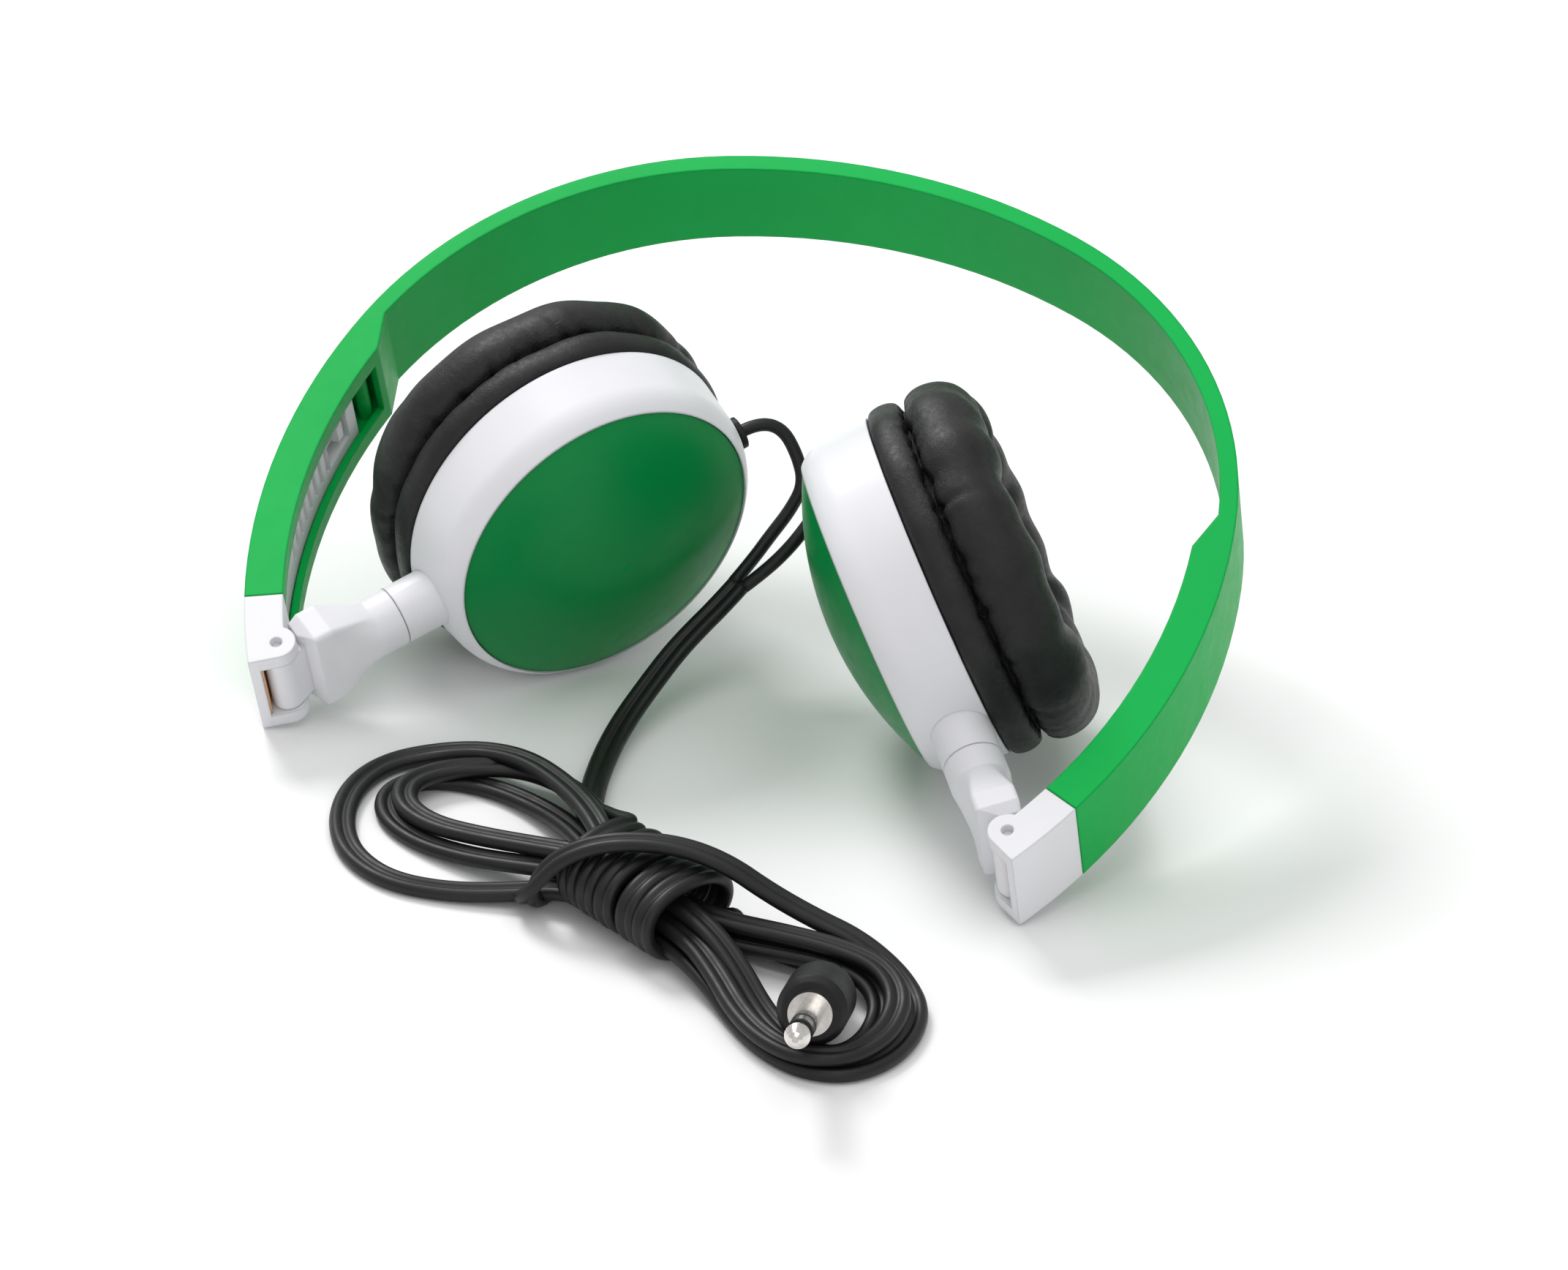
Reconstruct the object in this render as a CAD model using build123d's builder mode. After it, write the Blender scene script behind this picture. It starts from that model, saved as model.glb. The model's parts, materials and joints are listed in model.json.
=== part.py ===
"""Folding on-ear stereo headset: folded, lying on a surface, its cable tied in a hank. Millimetres."""
import os
from math import asin, atan2, cos, degrees, pi, radians, sin, sqrt, tan

from build123d import *

# ---- Overall sizes. u runs across the strap, v up to its top from the fold pins, w along the pins.
STRAP_WIDTH = 15.0          # along w
STRAP_WALL = 2.6
HALF_SPAN = 68.8            # middle to the outer face, at the widest place
WIDEST_V = 39.4
END_FLATTENING = 18.7       # outer radius of each arm of the strap, over HALF_SPAN
TOP_FLATTENING = 19.2       # outer radius of its top, over HALF_SPAN
TOP_RISE = 37.6             # height of its top over HALF_SPAN
TOP_HALF_ANGLE = 18.0
PITCH = 24.5                # the strap leans back by this when the headset lies folded
HINGE_LIFT = 0.145          # the left cup's rim holds the hinge blocks off the surface by this

# ---- Channel that each slider runs in, as angles about the strap end's centre and depths
CHANNEL_DEPTH = 5.5
CHANNEL_WALL = 1.5
FLANGE = 1.8
LIP_WALL = 1.1
LIP_REACH = 0.9
CHANNEL_TOP = 10.0
RAMP_ANGLE = 4.0
SEAM_TURN = 5.96            # seam between strap and hinge block, up from the fold pin
POST_ANGLE = 8.0
POST_RADIUS = 1.1
POST_SINK = 0.2

# ---- Slider: hinge block and strip
BLOCK_TURN = 1.94           # the block's end, down from the fold pin
SEAM_GAP = 0.1
STRIP_THICKNESS = 2.5
STRIP_TOP_ANGLE = 5.5
SLIDE_CLEARANCE = 0.15
BLOCK_WALL = 1.5
SLOT_HEIGHT = 10.4
SLOT_TURN = 2.66            # the slot's top, up from the fold pin
NOTCHES = 8
NOTCH_PITCH_ANGLE = 1.6
NOTCH_FIRST_ANGLE = -12.5
NOTCH_DEPTH = 0.6
NOTCH_WIDTH_ANGLE = 0.6
NOTCH_LENGTH = 6.4
WINDOW_ANGLE = 4.4
WINDOW_WIDTH = 6.6
WINDOW_MARGIN_ANGLE = 1.6
LATCH_WIDTH = 3.4
LATCH_THICKNESS = 1.2
LEAF_THICKNESS = 0.3

# ---- Fold pin and arm
PIN_DEPTH = 4.28            # pin's axis under the strap's outer face
PIN_RADIUS = 0.85
PIN_RECESS = 1.2
PIN_CLEARANCE = 0.05
BOSS_RADIUS = 2.75
KNUCKLE_RADIUS = 2.35
KNUCKLE_HEIGHT = 9.9
NECK_THICKNESS = 4.0
FOLD_ANGLE = 127.3          # arm's direction in the u, v plane when folded, right side
OPENING = 138               # how far each arm turns out, up to its stop on the hinge block
STOP_CLEARANCE = 0.1
YOKE_NEAR = 3.2
YOKE_WIDTH = 6.2
YOKE_CHAMFER = 1.0
YOKE_FULL = 7.4
YOKE_END = 14.2
YOKE_CORNER = 0.7
ARM_LENGTH = 48.9           # fold pin to the cup's axis
NECK_RADIUS = 4.3
NECK_END = 18.0
SWIVEL_GAP = 0.12
SPIGOT_RADIUS = 2.6
SPIGOT_CLEARANCE = 0.05
WASHER_RADIUS = 3.6
WASHER_THICKNESS = 0.7
WASHER_GAP = 0.15
SCREW_RADIUS = 1.0
SCREW_HEAD_RADIUS = 1.9
SCREW_HEAD_HEIGHT = 1.1
SWIVEL = {"left": 3.8, "right": -12.1}      # how far each cup is turned up about its arm

# ---- Cup, heights along its own axis, from the arm's axis towards the cap
RING_BACK = -4.3
RING_RADIUS = 25.45
RING_SHOULDER = 2.8
RING_SHOULDER_INSET = 0.55
RING_FRONT = 6.7
RING_WALL = 1.9
CAP_INSET = 2.75            # cap's edge inside the ring's outer face
CAP_SEAT = 4.2
CAP_RIM = 6.5
CAP_RISE = 5.7
CAP_WALL = 1.8
CAP_GAP = 0.15
SHELF_THICKNESS = 1.6
SHELF_LEDGE = 2.1           # shelf's reach under the cap's edge
COLLAR_DEPTH = 2.65         # the collar's inner end inside the ring's outer face
GLAND_RADIUS = 1.9
GLAND_FLANGE_RADIUS = 2.4
GLAND_FLANGE = 0.8
GLAND_SINK = 0.6            # how far the gland reaches inside the ring's wall
POSTS = (50, 130, 230, 310)
POST_INSET = 2.25           # screw posts' axes inside the ring's wall
CUP_POST_RADIUS = 1.8
TAPPING_RADIUS = 0.8
TAPPING_LENGTH = 5.0
TAPPING_HEAD_RADIUS = 1.5
TAPPING_HEAD_HEIGHT = 0.8

# ---- Driver and its baffle
BAFFLE_INSET = 1.05
BAFFLE_THICKNESS = 1.55
PART_GAP = 0.05
GRILLE_RADIUS = 16.0
GRILLE_THICKNESS = 0.45
DRIVER_RADIUS = 18.4
DRIVER_OPENING = 15.0
DRIVER_DEPTH = 5.0
MAGNET_RADIUS = 8.5
MAGNET_HEIGHT = 3.0
CONE_THICKNESS = 0.3

# ---- Ear cushion
CUSHION_INSET = 0.05
CUSHION_DEPTH = 14.4
CUSHION_HOLE = 12.5
CUSHION_SEAM_DEPTH = 1.6
CUSHION_ROLL = 4.8          # the thin roll beside the housing, up to the seam
CUSHION_GAP = 0.2

# ---- Cable
STRAND = 1.9
TWIN = 3.7

LEAD_EXIT = 3.0             # straight stretch out of each gland
LEFT_LEAD = [
    (-4.2, 12.3, 33.6),
    (-1.5, 11.9, 30.0),
    (0.3, 10.5, 26.6),
    (-0.6, 8.2, 23.2),
    (-2.4, 4.9, 19.8),
    (-3.6, 1.6, 17.2),
    (-4.9, -1.7, 15.0),
]
RIGHT_LEAD = [
    (4.9, 12.3, 32.8),
    (4.6, 10.5, 28.6),
    (3.9, 6.9, 24.8),
    (2.3, 2.9, 21.2),
    (-0.4, -0.4, 17.6),
    (-3.1, -2.3, 15.0),
]
RUN = [
    (-4.0, -2.0, 15.0),
    (-5.3, -5.4, 13.0),
    (-7.3, -9.7, 10.5),
    (-8.8, -13.9, 8.3),
    (-9.8, -19.4, 6.0),
    (-10.5, -25.3, 4.0),
    (-10.4, -31.4, 2.7),
    (-9.3, -38.8, 2.0),
    (-7.4, -46.2, 1.9),
    (-4.2, -54.8, 1.9),
]
HANK_OUTLINE = [
    (-1.0, -57.5),
    (-8.0, -50.5),
    (-17.0, -43.5),
    (-25.0, -39.5),
    (-34.0, -42.0),
    (-40.5, -49.0),
    (-41.0, -58.0),
    (-38.0, -69.5),
    (-31.0, -78.5),
    (-22.5, -81.7),
    (-14.0, -81.5),
    (-6.0, -78.0),
    (1.5, -76.0),
    (20.5, -82.0),
    (24.5, -84.0),
    (33.0, -92.0),
    (42.0, -97.8),
    (49.0, -98.2),
    (53.5, -94.0),
    (56.3, -85.0),
    (54.5, -75.0),
    (47.7, -68.4),
    (39.0, -65.3),
    (31.0, -66.4),
    (21.0, -71.0),
]
LEFT_EYE = [(-6.0, -58.5), (-15.0, -53.6), (-24.0, -52.0), (-30.0, -57.0), (-24.0, -63.6), (-9.0, -63.6)]
RIGHT_EYE = [
    (27.0, -76.5),
    (35.0, -73.2),
    (45.0, -74.4),
    (49.2, -82.0),
    (48.6, -90.5),
    (41.5, -93.0),
    (34.5, -88.2),
]
HANK_HEIGHT = 3.8
HANK_ROUND = 3.0
WRAP = [(0.0, -59.5), (21.0, -71.0), (20.5, -82.0), (1.0, -76.5)]
WRAP_HEIGHT = 12.0
WRAP_ROUND = 2.4
BEND_SHARE = 0.45           # how much of its shorter run each bend may use

# ---- Plug, 3.5 mm
PLUG_RADIUS = 1.75
PLUG_CORE = 0.7
PLUG_FLANGE_RADIUS = 3.0
PLUG_FLANGE = 1.6
PLUG_BODY_RADIUS = 4.8
PLUG_BODY_LENGTH = 9.0
PLUG_TAPER_LENGTH = 6.0
PLUG_TAPER_RADIUS = 3.0
PLUG_RELIEF_LENGTH = 4.0
PLUG_RELIEF_RADIUS = 2.3
PLUG_PLACE = (43.9, -93.2, 8.0)     # centre of the body's front face
PLUG_POINTS = (0.2, -0.93, 0.3)
SLEEVE_LENGTH = 6.5
PLUG_RING_LENGTH = 2.0
INSULATOR_LENGTH = 0.8
TIP_LENGTH = 3.9

# ---- Places worked out from the sizes
END_RADIUS = HALF_SPAN + END_FLATTENING
TOP_RADIUS = HALF_SPAN + TOP_FLATTENING
TOP_V = HALF_SPAN + TOP_RISE
END_CENTRE = (HALF_SPAN - END_RADIUS, WIDEST_V)
TOP_CENTRE = (0.0, TOP_V - TOP_RADIUS)
LEAN = radians(PITCH)


def end_point(radius, angle):
    """A place in the u, v plane, right side, by radius and angle about the strap end's centre."""
    a = radians(angle)
    return (END_CENTRE[0] + radius * cos(a), END_CENTRE[1] + radius * sin(a))


PIN_U = END_CENTRE[0] + sqrt((END_RADIUS - PIN_DEPTH) ** 2 - WIDEST_V**2)
PIN_ANGLE = degrees(atan2(-END_CENTRE[1], PIN_U - END_CENTRE[0]))
SEAM_ANGLE = PIN_ANGLE + SEAM_TURN
SLOT_TOP_ANGLE = PIN_ANGLE + SLOT_TURN
BLOCK_END_ANGLE = PIN_ANGLE - BLOCK_TURN
BLOCK_END = end_point(END_RADIUS, BLOCK_END_ANGLE)
FRONT_Y = BLOCK_END[1] * cos(LEAN) - STRAP_WIDTH / 2 * sin(LEAN)
BACK_Y = TOP_V * cos(LEAN) + STRAP_WIDTH / 2 * sin(LEAN)
PIN_LINE_Y = -(FRONT_Y + BACK_Y) / 2
PIN_LINE_Z = -BLOCK_END[1] * sin(LEAN) + STRAP_WIDTH / 2 * cos(LEAN) + HINGE_LIFT
W_DIRECTION = Vector(0, -sin(LEAN), cos(LEAN))
BAND = Plane(origin=(0, PIN_LINE_Y, PIN_LINE_Z), x_dir=(1, 0, 0), z_dir=W_DIRECTION)
SIDES = {"left": -1, "right": 1}
RING_INNER = RING_RADIUS - RING_WALL
RING_SHOULDER_RADIUS = RING_RADIUS - RING_SHOULDER_INSET
CAP_RADIUS = RING_RADIUS - CAP_INSET
SHELF_RADIUS = CAP_RADIUS - SHELF_LEDGE
COLLAR_INNER = RING_RADIUS - COLLAR_DEPTH
POST_CIRCLE = RING_INNER - POST_INSET
BAFFLE_RADIUS = RING_RADIUS - BAFFLE_INSET
CUSHION_RADIUS = RING_RADIUS - CUSHION_INSET

# The shoulder arc touches the top arc and the end arc from inside.
TOP_TURN = (sin(radians(TOP_HALF_ANGLE)), cos(radians(TOP_HALF_ANGLE)))
CENTRES = (TOP_CENTRE[0] - END_CENTRE[0], TOP_CENTRE[1] - END_CENTRE[1])
RADII_STEP = END_RADIUS - TOP_RADIUS
ALONG = CENTRES[0] * TOP_TURN[0] + CENTRES[1] * TOP_TURN[1]
SHOULDER_STEP = (CENTRES[0] ** 2 + CENTRES[1] ** 2 - RADII_STEP**2) / (2 * (RADII_STEP - ALONG))
SHOULDER_RADIUS = TOP_RADIUS - SHOULDER_STEP
SHOULDER_CENTRE = (SHOULDER_STEP * TOP_TURN[0], TOP_CENTRE[1] + SHOULDER_STEP * TOP_TURN[1])
SHOULDER_LOW_ANGLE = degrees(
    atan2(SHOULDER_CENTRE[1] - END_CENTRE[1], SHOULDER_CENTRE[0] - END_CENTRE[0])
)


# ---- Frames of each side: x outwards, y towards the strap's top
def side_plane(side):
    sign = SIDES[side]
    return Plane(origin=BAND.origin, x_dir=(sign, 0, 0), z_dir=W_DIRECTION * sign)


def arm_plane(side):
    """At the fold pin: x along the arm, z along the pin."""
    base = side_plane(side)
    turn = radians(FOLD_ANGLE)
    along = base.x_dir * cos(turn) + base.y_dir * sin(turn)
    return Plane(origin=base.from_local_coords((PIN_U, 0, 0)), x_dir=along, z_dir=base.z_dir)


def cup_plane(side):
    """At the cup's centre: x away from the arm, z out of the cap."""
    arm = arm_plane(side)
    turn = radians(SWIVEL[side])
    outwards = arm.y_dir * cos(turn) + W_DIRECTION * sin(turn)
    return Plane(origin=arm.origin + arm.x_dir * ARM_LENGTH, x_dir=arm.x_dir, z_dir=outwards)


def across(plane, distance):
    """The plane square to plane's x, that far along it."""
    return Plane(origin=plane.origin + plane.x_dir * distance, x_dir=plane.y_dir, z_dir=plane.x_dir)


def profile(plane):
    """The plane for a turned piece: x is the radius, y the height along plane's z."""
    return Plane(origin=plane.origin, x_dir=plane.x_dir, z_dir=plane.y_dir * -1)


def keep(piece, name):
    piece.part.label = name
    export_step(piece.part, f"parts/{name}.step")


def sector(inner, outer, low, high):
    """A face between two radii and two angles about the strap end's centre."""
    with BuildSketch() as face:
        with BuildLine():
            outside = CenterArc(END_CENTRE, outer, low, high - low)
            inside = CenterArc(END_CENTRE, inner, low, high - low)
            Line(outside @ 0, inside @ 0)
            Line(outside @ 1, inside @ 1)
        make_face()
    return face.sketch


def block_end():
    """The hinge block's rounded boss and end face, in a side's own u, v plane."""
    with BuildSketch() as face:
        with BuildLine():
            Line(BLOCK_END, end_point(END_RADIUS, PIN_ANGLE))
            CenterArc((PIN_U, 0), BOSS_RADIUS, 0, 360)
        make_hull()
    return face.sketch


# ---- Headband
def strap_arcs(offset, end_low):
    """The strap's face at that depth as arcs, left end to right end, in the u, v plane."""
    top = CenterArc(TOP_CENTRE, TOP_RADIUS - offset, 90 - TOP_HALF_ANGLE, 2 * TOP_HALF_ANGLE)
    turn = SHOULDER_LOW_ANGLE - end_low
    right = CenterArc(END_CENTRE, END_RADIUS - offset, end_low, turn)
    mirrored = (-END_CENTRE[0], END_CENTRE[1])
    left = CenterArc(mirrored, END_RADIUS - offset, 180 - SHOULDER_LOW_ANGLE, turn)
    for end, near in ((right @ 1, top @ 0), (left @ 0, top @ 1)):
        middle_angle = radians((SHOULDER_LOW_ANGLE + 90 - TOP_HALF_ANGLE) / 2)
        reach = SHOULDER_RADIUS - offset
        middle = (SHOULDER_CENTRE[0] + reach * cos(middle_angle), SHOULDER_CENTRE[1] + reach * sin(middle_angle))
        if end.X < 0:
            middle = (-middle[0], middle[1])
        ThreePointArc(end, middle, near)
    return left @ 1, right @ 0


def strap_outline():
    """The strap with its two channels' full outline, in the u, v plane."""
    wall_low = CHANNEL_TOP + RAMP_ANGLE
    with BuildSketch() as face:
        with BuildLine():
            outer_left, outer_right = strap_arcs(0, SEAM_ANGLE)
            inner_left, inner_right = strap_arcs(STRAP_WALL, wall_low)
            deep = END_RADIUS - CHANNEL_DEPTH
            sweep_angle = CHANNEL_TOP - SEAM_ANGLE
            right = CenterArc(END_CENTRE, deep, SEAM_ANGLE, sweep_angle)
            left = CenterArc((-END_CENTRE[0], END_CENTRE[1]), deep, 180 - CHANNEL_TOP, sweep_angle)
            Line(right @ 1, inner_right)
            Line(outer_right, right @ 0)
            Line(left @ 0, inner_left)
            Line(outer_left, left @ 1)
        make_face()
    return face.sketch


def channel_cut(side, half, inner, outer, low, high):
    """A sector's block, half each way along w, about the strap end on that side."""
    with BuildPart() as cut:
        with BuildSketch(side_plane(side).offset(-half)):
            add(sector(inner, outer, low, high))
        extrude(amount=2 * half)
    return cut.part


def make_headband():
    half = STRAP_WIDTH / 2
    pocket = half - FLANGE
    mouth = pocket - LIP_REACH
    inside = END_RADIUS - CHANNEL_DEPTH
    with BuildPart() as headband:
        with BuildSketch(BAND.offset(-half)):
            add(strap_outline())
        extrude(amount=STRAP_WIDTH)
        for side in SIDES:
            lip = inside + LIP_WALL
            outside = END_RADIUS - CHANNEL_WALL
            low = SEAM_ANGLE - 1
            add(channel_cut(side, pocket, lip, outside, low, CHANNEL_TOP), mode=Mode.SUBTRACT)
            add(channel_cut(side, mouth, inside - 1, lip + 0.1, low, CHANNEL_TOP - 1), mode=Mode.SUBTRACT)
            with BuildSketch(side_plane(side).offset(-pocket - POST_SINK)):
                with Locations(end_point(inside + LIP_WALL + POST_RADIUS + POST_SINK, POST_ANGLE)):
                    Circle(POST_RADIUS)
            extrude(amount=2 * (pocket + POST_SINK))
    keep(headband, "headband")


# ---- Slider, its spring leaf and fold pin
def make_slider(side):
    base = side_plane(side)
    half = STRAP_WIDTH / 2
    inner_face = END_RADIUS - CHANNEL_DEPTH
    strip_outer = END_RADIUS - CHANNEL_WALL - SLIDE_CLEARANCE
    strip_inner = strip_outer - STRIP_THICKNESS
    strip_half = half - FLANGE - SLIDE_CLEARANCE
    window_top = STRIP_TOP_ANGLE - WINDOW_MARGIN_ANGLE
    window_low = window_top - WINDOW_ANGLE
    seam = SEAM_ANGLE - SEAM_GAP
    with BuildPart() as slider:
        with BuildSketch(base.offset(-half)):
            add(sector(inner_face, END_RADIUS, PIN_ANGLE, seam))
            add(block_end())
            add(sector(END_RADIUS - BLOCK_WALL, END_RADIUS, BLOCK_END_ANGLE, PIN_ANGLE))
        extrude(amount=STRAP_WIDTH)
        with BuildSketch(base.offset(-SLOT_HEIGHT / 2)):
            add(sector(inner_face - 4, END_RADIUS - BLOCK_WALL, BLOCK_END_ANGLE - 2, SLOT_TOP_ANGLE))
        extrude(amount=SLOT_HEIGHT, mode=Mode.SUBTRACT)
        with BuildSketch(base.offset(-half)):
            with Locations((PIN_U, 0)):
                Circle(PIN_RADIUS)
        extrude(amount=STRAP_WIDTH, mode=Mode.SUBTRACT)
        with BuildSketch(base.offset(-strip_half)):
            add(sector(strip_inner, strip_outer, seam - 1, STRIP_TOP_ANGLE))
        extrude(amount=2 * strip_half)
        with BuildSketch(base.offset(-NOTCH_LENGTH / 2)):
            for i in range(NOTCHES):
                low = NOTCH_FIRST_ANGLE + i * NOTCH_PITCH_ANGLE
                add(sector(strip_inner - 1, strip_inner + NOTCH_DEPTH, low, low + NOTCH_WIDTH_ANGLE))
        extrude(amount=NOTCH_LENGTH, mode=Mode.SUBTRACT)
        with BuildSketch(base.offset(-WINDOW_WIDTH / 2)):
            add(sector(strip_inner - 1, strip_outer + 1, window_low, window_top))
        extrude(amount=WINDOW_WIDTH, mode=Mode.SUBTRACT)
        with BuildSketch(base.offset(-LATCH_WIDTH / 2)):
            tongue = strip_outer - LATCH_THICKNESS
            add(sector(tongue, strip_outer, window_low - 0.2, window_top - 0.9))
            add(sector(strip_inner, strip_outer, window_top - 2.0, window_top - 0.9))
        extrude(amount=LATCH_WIDTH)
    keep(slider, f"{side}_slider")


def make_hinge_leaf(side):
    wall = END_RADIUS - BLOCK_WALL
    height = SLOT_HEIGHT - 2 * CAP_GAP
    with BuildPart() as leaf:
        with BuildSketch(side_plane(side).offset(-height / 2)):
            add(sector(wall - LEAF_THICKNESS, wall, BLOCK_END_ANGLE + 0.3, SLOT_TOP_ANGLE - 0.2))
        extrude(amount=height)
    keep(leaf, f"{side}_hinge_leaf")


def make_fold_pin(side):
    length = STRAP_WIDTH - 2 * PIN_RECESS
    with BuildPart() as pin:
        with BuildSketch(arm_plane(side).offset(-length / 2)):
            Circle(PIN_RADIUS)
        extrude(amount=length)
    keep(pin, f"{side}_fold_pin")


# ---- Arm and its swivel fastener
def stop_relief(side):
    """Room in the arm for the hinge block and its leaf when it is turned out to its stop."""
    half = STRAP_WIDTH / 2 + 1
    inner = END_RADIUS - BLOCK_WALL - LEAF_THICKNESS - STOP_CLEARANCE
    low = BLOCK_END_ANGLE - degrees(STOP_CLEARANCE / END_RADIUS)
    base = side_plane(side)
    back = radians(-OPENING)
    turned = base.x_dir * cos(back) + base.y_dir * sin(back)
    block = Plane(origin=arm_plane(side).origin, x_dir=turned, z_dir=base.z_dir)
    with BuildPart() as relief:
        with BuildSketch(block.offset(-half)):
            with Locations((-PIN_U, 0)):
                add(sector(inner, END_RADIUS + BLOCK_WALL, low, PIN_ANGLE + 2))
        extrude(amount=2 * half)
        cheek = half - SLOT_HEIGHT / 2 + STOP_CLEARANCE
        for start in (-half, half - cheek):
            with BuildSketch(block.offset(start)):
                with Locations((-PIN_U, 0)):
                    add(offset(block_end(), STOP_CLEARANCE))
            extrude(amount=cheek)
    return relief.part


def make_arm(side):
    plane = arm_plane(side)
    half = STRAP_WIDTH / 2
    spigot_end = ARM_LENGTH - COLLAR_INNER + WASHER_GAP
    with BuildPart() as arm:
        with BuildSketch(plane.offset(-KNUCKLE_HEIGHT / 2)):
            Circle(KNUCKLE_RADIUS)
            with Locations((YOKE_NEAR / 2 + 0.1, 0)):
                Rectangle(YOKE_NEAR + 0.2, NECK_THICKNESS)
        extrude(amount=KNUCKLE_HEIGHT)
        with BuildSketch(across(plane, YOKE_NEAR)):
            RectangleRounded(YOKE_WIDTH - 0.4, STRAP_WIDTH - 2 * YOKE_CHAMFER, YOKE_CORNER)
        with BuildSketch(across(plane, YOKE_NEAR + 1.5 * YOKE_CHAMFER)):
            RectangleRounded(YOKE_WIDTH, STRAP_WIDTH, YOKE_CORNER)
        with BuildSketch(across(plane, YOKE_FULL)):
            RectangleRounded(YOKE_WIDTH, STRAP_WIDTH, YOKE_CORNER)
        loft(ruled=True)
        with BuildSketch(across(plane, YOKE_FULL)):
            RectangleRounded(YOKE_WIDTH, STRAP_WIDTH, YOKE_CORNER)
        with BuildSketch(across(plane, YOKE_END)):
            Circle(NECK_RADIUS)
        loft(ruled=True)
        with BuildSketch(across(plane, YOKE_END)):
            Circle(NECK_RADIUS)
        extrude(amount=NECK_END - YOKE_END)
        with BuildSketch(across(plane, NECK_END)):
            Circle(SPIGOT_RADIUS)
        extrude(amount=spigot_end - NECK_END)
        with BuildSketch(across(plane, spigot_end - 6)):
            Circle(SCREW_RADIUS)
        extrude(amount=6, mode=Mode.SUBTRACT)
        with BuildSketch(plane.offset(-half)):
            Circle(PIN_RADIUS + PIN_CLEARANCE)
        extrude(amount=STRAP_WIDTH, mode=Mode.SUBTRACT)
        add(stop_relief(side), mode=Mode.SUBTRACT)
    keep(arm, f"{side}_arm")
    with BuildPart() as washer:
        with BuildSketch(across(plane, spigot_end)):
            Circle(WASHER_RADIUS)
            Circle(SCREW_RADIUS, mode=Mode.SUBTRACT)
        extrude(amount=WASHER_THICKNESS)
    keep(washer, f"{side}_swivel_washer")
    with BuildPart() as screw:
        with BuildSketch(across(plane, spigot_end - 5)):
            Circle(SCREW_RADIUS)
        extrude(amount=5 + WASHER_THICKNESS)
        with BuildSketch(across(plane, spigot_end + WASHER_THICKNESS)):
            Circle(SCREW_HEAD_RADIUS)
        extrude(amount=SCREW_HEAD_HEIGHT)
        with BuildSketch(across(plane, spigot_end + WASHER_THICKNESS + SCREW_HEAD_HEIGHT - 0.6)):
            Rectangle(2.4, 0.5)
            Rectangle(0.5, 2.4)
        extrude(amount=1, mode=Mode.SUBTRACT)
    keep(screw, f"{side}_swivel_screw")


# ---- Cup
def make_cup_ring(side):
    plane = cup_plane(side)
    inner = RING_INNER
    collar_length = ARM_LENGTH - NECK_END - SWIVEL_GAP - COLLAR_INNER
    seat = CAP_RADIUS + CAP_GAP
    shelf_low = CAP_SEAT - SHELF_THICKNESS
    with BuildPart() as ring:
        with BuildSketch(profile(plane)):
            with BuildLine():
                Line((inner, RING_BACK), (RING_RADIUS, RING_BACK))
                Line((RING_RADIUS, RING_BACK), (RING_SHOULDER_RADIUS, RING_SHOULDER))
                wall = (RING_SHOULDER_RADIUS - RING_RADIUS, RING_SHOULDER - RING_BACK)
                TangentArc((RING_SHOULDER_RADIUS, RING_SHOULDER), (seat, RING_FRONT), tangent=wall)
                Polyline(
                    (seat, RING_FRONT),
                    (seat, CAP_SEAT),
                    (SHELF_RADIUS, CAP_SEAT),
                    (SHELF_RADIUS, shelf_low),
                    (inner, shelf_low),
                    (inner, RING_BACK),
                )
            make_face()
        revolve(axis=Axis(plane.origin, plane.z_dir))
        with BuildSketch(across(plane, -COLLAR_INNER - collar_length)):
            Circle(NECK_RADIUS)
        extrude(amount=collar_length)
        with BuildSketch(plane.offset(RING_BACK)):
            for angle in POSTS:
                with Locations(Vector(POST_CIRCLE, 0, 0).rotate(Axis.Z, angle)):
                    Circle(CUP_POST_RADIUS)
        extrude(amount=shelf_low - RING_BACK + SHELF_THICKNESS / 8)
        with BuildSketch(plane.offset(RING_BACK)):
            for angle in POSTS:
                with Locations(Vector(POST_CIRCLE, 0, 0).rotate(Axis.Z, angle)):
                    Circle(TAPPING_RADIUS)
        extrude(amount=TAPPING_LENGTH, mode=Mode.SUBTRACT)
        with BuildSketch(across(plane, -COLLAR_INNER - collar_length)):
            Circle(SPIGOT_RADIUS + SPIGOT_CLEARANCE)
        extrude(amount=collar_length, mode=Mode.SUBTRACT)
        with BuildSketch(across(plane, -COLLAR_INNER)):
            Circle(WASHER_RADIUS + WASHER_GAP)
        extrude(amount=WASHER_THICKNESS + SCREW_HEAD_HEIGHT + 1, mode=Mode.SUBTRACT)
        with BuildSketch(across(plane, inner - 1)):
            Circle(GLAND_RADIUS)
        extrude(amount=RING_WALL + 2, mode=Mode.SUBTRACT)
    keep(ring, f"{side}_cup_ring")


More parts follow.
